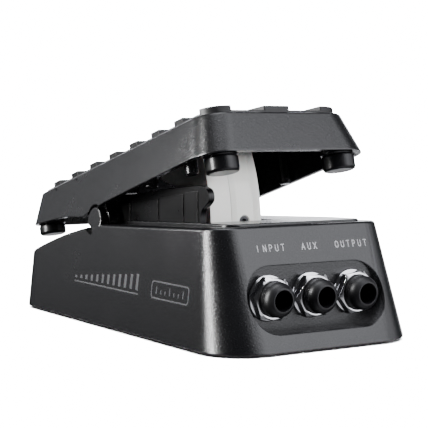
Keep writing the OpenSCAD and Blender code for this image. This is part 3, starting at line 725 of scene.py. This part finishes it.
def build_treadle():
    skin_t = 2.5
    outer = column_lines(tread_outline, 0, TREAD_N)
    inner = column_lines(tread_outline, 0, TREAD_N, skin_t)

    def at(lines, height):
        return [meet(line, height) for line in lines]

    def toward(a, b, t):
        return [p.lerp(q, t) for p, q in zip(a, b)]

    rim_out = at(outer, rim_n)
    rim_in = at(inner, rim_n)
    up = [Vector((line[1].x, line[1].y, 1)).normalized() for line in outer]
    rings = [at(inner, lambda s: TREAD_N - skin_t),
             [p + 0.4 * u for p, u in zip(rim_in, up)], toward(rim_in, rim_out, 0.16),
             toward(rim_in, rim_out, 0.8), toward(rim_in, rim_out, 0.95),
             [p + 0.25 * u for p, u in zip(rim_out, up)], [p + 0.6 * u for p, u in zip(rim_out, up)]]
    rings += rounded_top(outer, lambda s: TREAD_N, lambda s: 0.0, 1.1, 6)
    shell = loft("treadle_casting", rings)
    extras = []
    posts = []
    for side in (-1, 1):
        for (s, y), n0, r in ((TOE_BUMPER, 6.7, 5.7), (HEEL_BUMPER, 8.0, 5.2)):
            prof = [(r - 0.5, n0), (r, n0 + 0.5), (r + 0.2, UNDERSIDE_N)]
            posts.append(shift(lathe("post", prof, 40), (s, side * y, 0)))
        # Hinge boss, the web that carries it, and the small pillars
        boss = turn(lathe("hinge_boss", [(4.9, 26.0), (5.2, 26.3), (5.2, 30.5), (4.9, 30.8)], 40), "y")
        if side < 0:
            boss = mirror_y(boss)
        extras.append(boss)
        lo, hi = sorted((side * 26.3, side * 30.6))
        posts.append(box_mesh("web", (-4, lo, 0.5), (4, hi, UNDERSIDE_N)))
        for s, n0, r in ((60, 3.5, 2.2), (33, 5.0, 2.2)):
            prof = [(r - 0.35, n0), (r, n0 + 0.35), (r + 0.25, UNDERSIDE_N)]
            posts.append(shift(lathe("pillar", prof, 28), (s, side * 28.0, 0)))
    for s in SECTOR_SCREWS:
        extras.append(shift(lathe("pad", [(3.5, SECTOR_TOP), (3.6, UNDERSIDE_N)], 28), (s, SECTOR_Y, 0)))
    # Ribs under the tread
    for s, y0, low in ((12, -21.5, 5.5), (-20, -29.5, 13.5), (-38, -29.5, 13.5)):
        extras.append(box_mesh("rib", (s - 0.8, y0, low), (s + 0.8, 29.5, UNDERSIDE_N)))
    extras.append(box_mesh("rib", (-53, -0.8, 14.0), (24, 0.8, UNDERSIDE_N)))
    extras.append(box_mesh("rib", (59, -17.0, 13.5), (60.6, 17.0, UNDERSIDE_N)))
    inside = loft("inside", [[(p[0], p[1], n) for p in tread_outline(n, 0.6)] for n in (-2.0, TREAD_N - 0.8)])
    posts = combine(merge("posts", posts), [inside], "INTERSECT")
    combine(shell, [posts] + extras, "UNION")
    cuts = []
    bush_r = 3.36
    for side in (-1, 1):
        y0, y1 = (25.0, 31.5) if side > 0 else (-31.5, -25.0)
        cuts.append(turn(lathe("bore", [(bush_r, y0), (bush_r, y1)], 40), "y"))
        notch = turn(lathe("notch", [(NOTCH_R, 30.85), (NOTCH_R, 50)], 48), "y")
        cuts.append(notch if side > 0 else mirror_y(notch))
    combine(shell, cuts, "DIFFERENCE")
    finish_piece(shell, "treadle", "treadle_powder_coat", ["treadle_shell"], "treadle_casting")


build_treadle()

# ---------------- tread pad


def pad_half(s):
    """Half width of the pad's outline at s, with its rounded corners."""
    toe, heel, half = TREAD_TOE - PAD_INSET, -TREAD_HEEL + PAD_INSET, TREAD_HALF - PAD_INSET
    tr, hr = TREAD_TOE_R - PAD_INSET, TREAD_HEEL_R - PAD_INSET
    if s > toe - tr:
        return half - tr + math.sqrt(max(0.0, tr * tr - (s - toe + tr) ** 2))
    if s < heel + hr:
        return half - hr + math.sqrt(max(0.0, hr * hr - (heel + hr - s) ** 2))
    return half


def build_pad():
    def outline(inset):
        tr, hr = TREAD_TOE_R - PAD_INSET - inset, TREAD_HEEL_R - PAD_INSET - inset
        half = TREAD_HALF - PAD_INSET - inset
        toe, heel = TREAD_TOE - PAD_INSET - inset, -TREAD_HEEL + PAD_INSET + inset
        return round_rect(rect_corners(toe, heel, half, -half, tr, hr), (1, 1, 1, 1), 10)

    levels = [(TREAD_N - 0.2, 0.0), (TREAD_N + 0.8, 0.0), (TREAD_N + 1.0, 0.1), (TREAD_N + PAD_T, 0.35)]
    sheet = loft("tread_mat", [[(x, y, n) for x, y, _ in outline(i)] for n, i in levels])
    blocks = []
    row_pitch, row_len = 15.85, 5.7
    for row in range(9):
        s1 = TREAD_TOE - PAD_INSET - row * row_pitch
        s0 = max(s1 - row_len, -TREAD_HEEL + PAD_INSET)
        span = s1 - s0
        for side in (-1, 0, 1):
            if side == 0:
                poly = [(s1, -4.85), (s1, 4.85), (s0, 4.85 + span * 0.55), (s0, -4.85 - span * 0.55)]
            else:
                steps = 10
                line = [s0 + span * k / steps for k in range(steps + 1)]
                edge = [(s, max(pad_half(s) - 0.02, 18.4 if k else 18.0)) for k, s in enumerate(line)]
                inner = [(s1, 17.9), (s0, 17.5 - span * 0.45)]
                if edge[-1][1] <= 18.5:
                    edge[-1] = (edge[-1][0], 18.6)
                poly = [(s, side * y) for s, y in edge + inner]
            levels = (TREAD_N + 0.6, TREAD_N + PAD_T + BLOCK_H)
            blocks.append(bevel(loft("block", [[(s, y, n) for s, y in poly] for n in levels]), 0.28, 3, 40))
    pad = merge("tread_mat", [sheet] + blocks)
    finish_piece(pad, "treadle", "tread_rubber", ["tread_pad"], "tread_mat", 40)


build_pad()

# ---------------- bumpers


def build_bumper(name, s, y, n0, n1, r):
    prof = [(r - 1.5, n0), (r - 0.75, n0 + 0.05), (r - 0.3, n0 + 0.25), (r - 0.07, n0 + 0.6), (r, n0 + 1.05),
            (r, n1 - 0.7), (r - 0.1, n1 - 0.3), (r - 0.35, n1 - 0.02), (STEM_R, n1), (STEM_R, n1 + 4.8)]
    obj = shift(lathe("bumper", prof, 64), (s, y, 0))
    finish_piece(obj, "treadle", "black_rubber", [name], name + "_rubber", 50)


for side, word in ((-1, "left"), (1, "right")):
    build_bumper("toe_bumper_" + word, TOE_BUMPER[0], side * TOE_BUMPER[1], 1.44, 6.7, 5.5)
    build_bumper("heel_bumper_" + word, HEEL_BUMPER[0], side * HEEL_BUMPER[1], 4.2, 8.0, 5.1)

# ---------------- sector and band


def sweep_rim(name, section, low, top_n, steps=56):
    """Cross-section [(radius, y)] swept about the hinge from an angle up to the height top_n."""
    start = math.radians(low)
    rings = []
    for k in range(steps + 1):
        ring = []
        for r, y in section:
            a = start + (math.asin(top_n / r) - start) * k / steps
            ring.append((r * math.cos(a), y, r * math.sin(a)))
        rings.append(ring)
    return loft(name, rings)


def band_cut(angle, y, profile):
    """Turned cutter along the rim's radius at an angle from the level."""
    obj = turn(lathe("cut", profile, 40), "x")
    a = math.radians(angle)
    for v in obj.data.vertices:
        x, yy, z = v.co
        v.co = (x * math.cos(a) - z * math.sin(a), yy + y, x * math.sin(a) + z * math.cos(a))
    return obj


def build_sector():
    y0, y1 = SECTOR_Y - SECTOR_W / 2, SECTOR_Y + SECTOR_W / 2
    b0, b1 = BAND_Y
    r = RIM_R
    section = [(r - 2.5, y0), (r - 0.45, y0), (r - 0.14, y0 + 0.12), (r, y0 + 0.45), (r + 0.02, y0 + 2.0),
               (r + 0.02, b0 - 0.5), (r - 0.02, b0 - 0.1), (r - 0.02, b1 + 0.05), (r + 0.05, b1 + 0.25),
               (r + 0.38, y1 - 1.35), (r + 0.40, y1 - 0.4), (r + 0.28, y1 - 0.1), (r, y1), (r - 2.5, y1)]
    rim = sweep_rim("rim", section, RIM_LOW, SECTOR_TOP)
    parts = []
    web_r = r - 0.6
    top = math.degrees(math.asin(SECTOR_TOP / web_r))
    for a, b in ((y0 + 0.01, y0 + 2.0), (SECTOR_Y - 1.0, SECTOR_Y + 1.0), (y1 - 2.0, y1 - 0.01)):
        outline = arc(0, 0, web_r, RIM_LOW + 0.1, top, 44) + [(27, SECTOR_TOP - 0.01), (27, 9), (40, 2)]
        outline += arc(0, 0, 42, 1.5, RIM_LOW + 0.1, 24)
        parts.append(bevel(plate_solid("flank", outline, a, b), 0.18, 2, 40))
    parts.append(box_mesh("bridge", (27, y0 + 0.02, SECTOR_TOP - 2.0), (53.2, y1 - 0.02, SECTOR_TOP - 0.02)))
    combine(rim, parts, "UNION")
    mid = (b0 + b1) / 2
    cut_in, cut_out = r - 9, r + 3
    cuts = [band_cut(HOLE_ANGLE, mid + 0.5, [(HOLE_R, cut_in), (HOLE_R, cut_out)]),
            band_cut(PIN_ANGLE, mid, [(PIN_R, cut_in), (PIN_R, cut_out)])]
    for s in SECTOR_SCREWS:
        cuts.append(shift(lathe("bore", [(3.2, 6.0), (3.2, SECTOR_TOP - 1.9)], 32), (s, SECTOR_Y, 0)))
        cuts.append(shift(lathe("bore", [(1.55, 10.0), (1.55, SECTOR_TOP + 2)], 24), (s, SECTOR_Y, 0)))
    combine(rim, cuts, "DIFFERENCE")
    finish_piece(rim, "treadle", "ivory_nylon", ["band_sector"], "sector_casting", 40)

    o = r + BAND_T
    section = [(r, b0), (r + 0.10, b0), (r + 0.16, b0 + 0.06), (o + 0.02, b0 + 1.7), (o + 0.06, b0 + 2.3),
               (o + 0.06, b1 - 0.9), (o - 0.04, b1 - 0.16), (o - 0.16, b1), (r, b1)]
    band = sweep_rim("band", section, RIM_LOW, SECTOR_TOP - 0.1)
    sink = [(HOLE_R, cut_in), (HOLE_R, r - 0.1), (2.3, r + 0.75), (2.3, cut_out)]
    cuts = [band_cut(HOLE_ANGLE, mid + 0.5, sink),
            band_cut(PIN_ANGLE, mid, [(PIN_R, cut_in), (PIN_R, cut_out)])]
    combine(band, cuts, "DIFFERENCE")
    finish_piece(band, "treadle", "band_film", ["drive_band"], "band_strip", 40)


build_sector()

# ---------------- mechanism frame


def smooth_line(points, per=6):
    """Catmull-Rom line through points, with per steps between each two."""
    out = []
    pts = [points[0]] + list(points) + [points[-1]]
    for k in range(1, len(pts) - 2):
        p0, p1, p2, p3 = (Vector(q) for q in pts[k - 1:k + 3])
        for i in range(per):
            t = i / per
            out.append(tuple(0.5 * ((2 * p1) + (p2 - p0) * t + (2 * p0 - 5 * p1 + 4 * p2 - p3) * t * t
                                    + (3 * p1 - p0 - 3 * p2 + p3) * t ** 3)))
    out.append(tuple(points[-1]))
    return out


def build_frame():
    front = smooth_line([(-38.6, 50.0), (-34.9, 49.7), (-32.2, 48.9), (-31.1, 47.1), (-31.3, 45.2),
                         (-33.2, 43.6), (-35.0, 42.4), (-35.9, 40.6), (-36.0, 37.0), (-36.0, 34.0)])
    outline = [(-104, 12), (-104, 39.8), (-88, 44), (-66, 47.4), (-46, 49.4)] + front
    outline += [(-28.7, 30.5), (-28.7, 4), (-34, 4), (-52, 12)]
    near_y, near_in, far_in, far_y = -24.5, -22.7, 3, 4.8
    near = bevel(plate_solid("near_cheek", outline, near_y, near_in), 0.3, 3, 50)
    # Raised lip along the shaped edge and pressed panels on the cheek
    inner = [(x - 1.15, z - 0.15) for x, z in front]
    lip = bevel(plate_solid("lip", list(front) + inner[::-1], -25.1, -24.2), 0.22, 2, 50)
    panels = []
    for x0, x1 in ((-102, -84), (-82.4, -64), (-62.4, -47.5), (-46, -38.5)):
        z1 = 40.2 + (x0 + 102) * 0.13
        poly = [(x0, 34.0), (x1, 34.6), (x1, z1 + (x1 - x0) * 0.10), (x0, z1)]
        panels.append(bevel(plate_solid("panel", poly, -24.85, -24.2), 0.2, 2, 50))
    far = [(-104, 12), (-104, 29), (-88, 31.6), (-60, 33), (-28.7, 33.2), (-28.7, 4), (-34, 4), (-52, 12)]
    parts = [lip] + panels + [bevel(plate_solid("far_cheek", far, far_in, far_y), 0.25, 2, 50)]
    for x, y in FRAME_SCREWS:
        lo, hi = (y - 2.7, -24.4) if y < 0 else (4.7, y + 3.5)
        parts.append(bevel(box_mesh("tab", (x - 5, lo, 24), (x + 5, hi, 26)), 0.2, 2, 50))
    parts.append(box_mesh("rear_wall", (-104, -24.4, 12.02), (-102, 4.7, 28.95)))
    parts.append(box_mesh("tie", (-33, -24.4, 4.02), (-30.5, 4.7, 8)))
    combine(near, parts, "UNION")
    cuts = [shift(turn(lathe("hole", [(4.06, -30), (4.06, -20)], 40), "y"), (DRUM_X, 0, DRUM_Z)),
            shift(turn(lathe("hole", [(3.5, 1), (3.5, 7)], 40), "y"), (DRUM_X, 0, DRUM_Z))]
    for x, y in FRAME_SCREWS:
        cuts.append(shift(lathe("hole", [(SCREW_R, 20), (SCREW_R, 28)], 20), (x, y, 0)))
    combine(near, cuts, "DIFFERENCE")
    finish_piece(near, "base", "frame_black", ["mechanism_frame"], "drive_frame", 40)


build_frame()

# ---------------- jacks


def build_jack_fittings():
    washer_t, nut_t, nut_flat = 0.8, 3.0, 6.5
    nut_x = PANEL_X + washer_t
    corner = nut_flat / math.cos(math.radians(30))
    wall_x = PANEL_X - WALL

    nose_line = [(PLUG_R, 6), (PLUG_R, 0.3), (3.4, 0), (3.75, 0), (3.95, 0.1), (4.15, 0.35), (4.45, 0.6),
                 (4.9, 1.05), (5.2, 1.5), (5.42, 2.1), (5.5, 2.5)]

    def on_axis(profile, y, segments=96, hole=False):
        return shift(turn(lathe("round", profile, segments, hole), "x"), (0, y, JACK_H))

    for k, word in ((-1, "input"), (0, "aux"), (1, "output")):
        y = k * JACK_PITCH
        # Domed washer
        prof = [(PANEL_HOLE_R, PANEL_X), (7.15, PANEL_X), (7.4, PANEL_X + 0.2), (7.3, PANEL_X + 0.5),
                (6.9, PANEL_X + 0.78), (5.95, nut_x), (PANEL_HOLE_R, PANEL_X + 0.7)]
        ring = on_axis(prof, y, hole=True)
        finish_piece(ring, "base", "chrome_plate", [word + "_jack_washer"], word + "_washer", 40)
        # Hexagon nut, chamfered on both faces, each one turned a little differently
        angles = [math.radians(60 * i + 8 * k) for i in range(6)]
        body = loft("nut", [[(x, corner * math.cos(a), corner * math.sin(a)) for a in angles]
                            for x in (nut_x, nut_x + nut_t)])
        turned = turn(lathe("turned", [(6.75, 0.0), (7.6, 0.45), (7.6, 2.15), (6.2, nut_t)], 96), "x")
        combine(body, [shift(turned, (nut_x, 0, 0))], "INTERSECT")
        bore = turn(lathe("bore", [(5.9, -0.5), (5.6, 0.3), (5.57, 2.6), (5.95, 3.3), (5.95, 5)], 96), "x")
        combine(body, [shift(bore, (nut_x, 0, 0))], "DIFFERENCE")
        bevel(body, 0.2, 3, 25)
        shift(body, (0, y, JACK_H))
        finish_piece(body, "base", "chrome_plate", [word + "_jack_nut"], word + "_nut")
        # Bushing: plug hole, rounded nose and thread
        prof = [(r, NOSE_X - back) for r, back in nose_line]
        x = NOSE_X - 3.0
        while x > nut_x - 0.6:
            prof += [(5.54, x + 0.2), (5.30, x), (5.54, x - 0.2)]
            x -= 0.8
        prof += [(5.5, wall_x), (PLUG_R, wall_x)]
        nose = on_axis(prof, y, hole=True)
        # Case behind the panel, with its sleeve hole, hollow and contact holes
        case = box_mesh("case", (-27.2, y - 6.3, JACK_H - 5.2), (wall_x, y + 6.3, JACK_H + 5.2))
        bevel(case, 0.4, 2)
        hole = on_axis([(PLUG_R, -40), (PLUG_R, -5)], y, 48)
        hollow = on_axis([(4.3, -25.7), (4.3, -16)], y, 48)
        combine(case, [hole, hollow], "DIFFERENCE")
        pins = [shift(lathe("hole", [(0.5, -8), (0.5, 0)], 16), (px, y, JACK_H - 1)) for px in (-18.5, -23.5)]
        combine(case, pins, "DIFFERENCE")
        finish_piece(merge("jack", [nose, case]), "base", "jack_plastic", [word + "_jack"], word + "_socket")


build_jack_fittings()

# ---------------- printing


def side_wall(x, z, proud=0.0):
    """Point on the leaning left wall."""
    return Vector((x, -(BASE_W / 2 - SIDE_LEAN * z) - proud, z))


def toe_wall(y, z, proud=0.0):
    """Point on the leaning toe wall."""
    return Vector((-TOE_LEAN * z + proud, y, z))


def ink_strip(points, width, wall, proud=0.03, closed=False):
    """Flat printed stroke along points on a wall."""
    n = len(points)
    lo, hi = [], []
    for i, p in enumerate(points):
        a = points[i - 1] if i or closed else p
        b = points[(i + 1) % n] if i < n - 1 or closed else p
        d = Vector((b[0] - a[0], b[1] - a[1])).normalized()
        m = Vector((-d.y, d.x)) * width / 2
        lo.append((p[0] + m.x, p[1] + m.y))
        hi.append((p[0] - m.x, p[1] - m.y))
    verts = [wall(*q, proud) for q in lo + hi] + [wall(*q, -0.05) for q in lo + hi]
    faces = []
    last = n if closed else n - 1
    for i in range(last):
        j = (i + 1) % n
        faces += [(i, j, n + j, n + i), (2 * n + i, 3 * n + i, 3 * n + j, 2 * n + j)]
        faces += [(i, 2 * n + i, 2 * n + j, j), (n + i, n + j, 3 * n + j, 3 * n + i)]
    if not closed:
        faces += [(0, n, 3 * n, 2 * n), (n - 1, 3 * n - 1, 4 * n - 1, 2 * n - 1)]
    return make("stroke", verts, faces)


# Strokes of each letter in a unit square
LETTERS = {
    "I": [[(0.5, 0), (0.5, 1)]],
    "N": [[(0.1, 0), (0.1, 1), (0.9, 0), (0.9, 1)]],
    "P": [[(0.1, 0), (0.1, 1), (0.6, 1), (0.85, 0.88), (0.9, 0.74), (0.85, 0.6), (0.6, 0.48), (0.1, 0.48)]],
    "U": [[(0.1, 1), (0.1, 0.3), (0.2, 0.08), (0.5, 0), (0.8, 0.08), (0.9, 0.3), (0.9, 1)]],
    "T": [[(0.02, 1), (0.98, 1)], [(0.5, 1), (0.5, 0)]],
    "A": [[(0.02, 0), (0.5, 1), (0.98, 0)], [(0.22, 0.34), (0.78, 0.34)]],
    "X": [[(0.05, 0), (0.95, 1)], [(0.05, 1), (0.95, 0)]],
    "O": [[(0.5, 0), (0.8, 0.08), (0.94, 0.3), (0.94, 0.7), (0.8, 0.92), (0.5, 1), (0.2, 0.92), (0.06, 0.7),
           (0.06, 0.3), (0.2, 0.08), (0.5, 0)]],
}


def print_on_base(name, strokes):
    finish_piece(merge(name, strokes), "base", "housing_powder_coat", (), name, 30, "print_ink")


def build_labels():
    strokes = []
    height, wide, narrow, pitch, foot_z = 1.95, 1.25, 0.6, 2.32, 30.2
    for word, start in (("INPUT", -19.7), ("AUX", -2.5), ("OUTPUT", 10.9)):
        for i, letter in enumerate(word):
            w = narrow if letter == "I" else wide
            for line in LETTERS[letter]:
                pts = [Vector((start + i * pitch + u * w, foot_z + v * height)) for u, v in line]
                for k, (a, b) in enumerate(zip(pts, pts[1:])):
                    ahead = (b - a).normalized() * 0.08
                    strokes.append(ink_strip([a - ahead, b + ahead], 0.30, toe_wall, 0.03 + 0.002 * (k % 2)))
    print_on_base("socket_labels", strokes)
    # Plain level scale on the long side
    strokes = []
    for i in range(12):
        # Bars that grow towards the toe
        x = -102.6 + 4.1 * i
        strokes.append(ink_strip([(x, 14.6), (x, 15.4 + 0.42 * i)], 1.5, side_wall))
    strokes.append(ink_strip([(-103.6, 13.4), (-56.2, 13.4)], 0.45, side_wall))
    # Rounded plate with tick marks
    frame_line = []
    for cx, cz, a0 in ((-25.6, 17.6, 0), (-46.4, 17.6, 90), (-46.4, 14.6, 180), (-25.6, 14.6, 270)):
        frame_line += arc(cx, cz, 1.2, a0, a0 + 90, 5)
    strokes.append(ink_strip(frame_line, 0.45, side_wall, closed=True))
    for i in range(7):
        x = -44.4 + 2.8 * i
        strokes.append(ink_strip([(x, 14.9), (x, 17.3 if i % 3 == 0 else 16.2)], 0.5, side_wall))
    print_on_base("level_scale", strokes)


build_labels()

# ---------------- camera, light and floor

# World light: an even part and soft lobes (azimuth, elevation, inner angle, outer angle, brightness)
AMBIENT = 0.03
WORLD_TINT = (0.96, 0.97, 1.02, 1)
LOBES = [(147.6, 4, 12, 34, 3.5), (32, 38, 8, 30, 3.6), (32, 62, 6, 26, 0.45), (-150, 17, 8, 26, 0.7),
         (34, 4, 6, 20, 2.6), (62, 10, 8, 26, 1.5), (0, 90, 6, 28, 5.0), (20, -40, 20, 50, 0.8)]
# What the camera sees of the world
BACKDROP = 20.0
# The sun that lights only the floor: brightness, (azimuth, elevation) and spread
FLOOR_SUN, SUN_FROM, SUN_SPREAD = 90.0, (-40, 70), 70
FLOOR_HALF = 6
# Lamps (name, azimuth, elevation, distance, size, power, kind, what they are aimed at)
CENTRE = (0, 0, 0.03)
CORNER = (TOE_X * MM - 0.012, -0.036, 0.036)
AREAS = [("strip_left", -98, 14, 0.9, (0.05, 0.9), 27, "gloss", CENTRE),
         ("key_front", 5, 14, 0.8, (0.25, 0.25), 7, "diffuse", CENTRE),
         ("glow_left", -143, 18, 0.26, (0.035, 0.05), 0.24, "gloss", CORNER)]
# Camera fitted to the photograph: picture width and focal length in pixels, sensor width in mm, then its
# place in the base's directions in mm and its angles in degrees
PHOTO_PX, FOCAL_PX, SENSOR_MM = 428.0, 1296.507, 36.0
CAMERA_AT = (319.624, -245.65, 68.687)
CAMERA_YAW, CAMERA_PITCH = 147.598, 3.801


def direction(azimuth, elevation):
    """Unit vector towards an azimuth and an elevation in degrees."""
    a, e = math.radians(azimuth), math.radians(elevation)
    return Vector((math.cos(e) * math.cos(a), math.cos(e) * math.sin(a), math.sin(e)))


# The diffuse lamp lights only these
pale = bpy.data.collections.new("pale_pieces")
for piece in ("sector_casting", "band_strip"):
    pale.objects.link(bpy.data.objects[piece])


def area_light(name, azimuth, elevation, distance, size, power, kind, target):
    """Soft lamp. A gloss lamp only makes highlights; a diffuse lamp makes none and lights the pale pieces."""
    d = direction(azimuth, elevation)
    data = bpy.data.lights.new(name, "AREA")
    data.shape = "RECTANGLE"
    data.size, data.size_y = size
    data.energy = power
    obj = bpy.data.objects.new(name, data)
    obj.location = Vector(target) + d * distance
    obj.visible_diffuse = kind != "gloss"
    obj.visible_glossy = kind != "diffuse"
    if kind == "diffuse":
        obj.light_linking.receiver_collection = pale
    obj.rotation_euler = (-d).to_track_quat("-Z", "Y").to_euler()
    bpy.context.scene.collection.objects.link(obj)


def build_stage():
    mesh = bpy.data.meshes.new("floor")
    r = FLOOR_HALF
    mesh.from_pydata([(-r, -r, 0), (r, -r, 0), (r, r, 0), (-r, r, 0)], [], [(0, 1, 2, 3)])
    floor = bpy.data.objects.new("floor", mesh)
    bpy.context.scene.collection.objects.link(floor)
    mat, tree, bsdf = new_material("floor_paper")
    bsdf.inputs["Base Color"].default_value = (0.95, 0.95, 0.95, 1)
    bsdf.inputs["Roughness"].default_value = 0.9
    bsdf.inputs["Specular IOR Level"].default_value = 0.0
    floor.data.materials.append(mat)
    # The camera sees the white floor and its soft shadow, but no piece is lit by it or mirrors it
    floor.visible_diffuse = False
    floor.visible_glossy = False
    only_floor = bpy.data.collections.new("only_floor")
    only_floor.objects.link(floor)
    data = bpy.data.lights.new("floor_sun", "SUN")
    data.energy = FLOOR_SUN
    data.angle = math.radians(SUN_SPREAD)
    sun = bpy.data.objects.new("floor_sun", data)
    sun.rotation_euler = (-direction(*SUN_FROM)).to_track_quat("-Z", "Y").to_euler()
    bpy.context.scene.collection.objects.link(sun)
    sun.light_linking.receiver_collection = only_floor


def build_light():
    world = bpy.data.worlds.new("studio")
    bpy.context.scene.world = world
    world.use_nodes = True
    tree = world.node_tree
    background = tree.nodes["Background"]
    background.inputs["Color"].default_value = WORLD_TINT
    coord = tree.nodes.new("ShaderNodeTexCoord")
    total = None
    for azimuth, elevation, inner, outer, level in LOBES:
        dot = tree.nodes.new("ShaderNodeVectorMath")
        dot.operation = "DOT_PRODUCT"
        dot.inputs[1].default_value = direction(azimuth, elevation)
        tree.links.new(coord.outputs["Generated"], dot.inputs[0])
        fade = tree.nodes.new("ShaderNodeMapRange")
        fade.interpolation_type = "SMOOTHSTEP"
        fade.inputs["From Min"].default_value = math.cos(math.radians(outer))
        fade.inputs["From Max"].default_value = math.cos(math.radians(inner))
        fade.inputs["To Min"].default_value = 0.0
        fade.inputs["To Max"].default_value = level
        tree.links.new(dot.outputs["Value"], fade.inputs["Value"])
        add = tree.nodes.new("ShaderNodeMath")
        add.operation = "ADD"
        if total is None:
            add.inputs[0].default_value = AMBIENT
        else:
            tree.links.new(total, add.inputs[0])
        tree.links.new(fade.outputs["Result"], add.inputs[1])
        total = add.outputs[0]
    path = tree.nodes.new("ShaderNodeLightPath")
    choose = tree.nodes.new("ShaderNodeMix")
    choose.data_type = "FLOAT"
    tree.links.new(path.outputs["Is Camera Ray"], choose.inputs[0])
    tree.links.new(total, choose.inputs[2])
    choose.inputs[3].default_value = BACKDROP
    tree.links.new(choose.outputs[0], background.inputs["Strength"])
    for args in AREAS:
        area_light(*args)


def build_camera():
    data = bpy.data.cameras.new("camera")
    data.sensor_width = SENSOR_MM
    data.lens = FOCAL_PX * SENSOR_MM / PHOTO_PX
    data.clip_start = 0.01
    data.clip_end = 20
    obj = bpy.data.objects.new("camera", data)
    obj.location = base_place(CAMERA_AT)
    obj.rotation_euler = direction(CAMERA_YAW, -CAMERA_PITCH).to_track_quat("-Z", "Y").to_euler()
    bpy.context.scene.collection.objects.link(obj)
    bpy.context.scene.camera = obj


build_stage()
build_light()
build_camera()
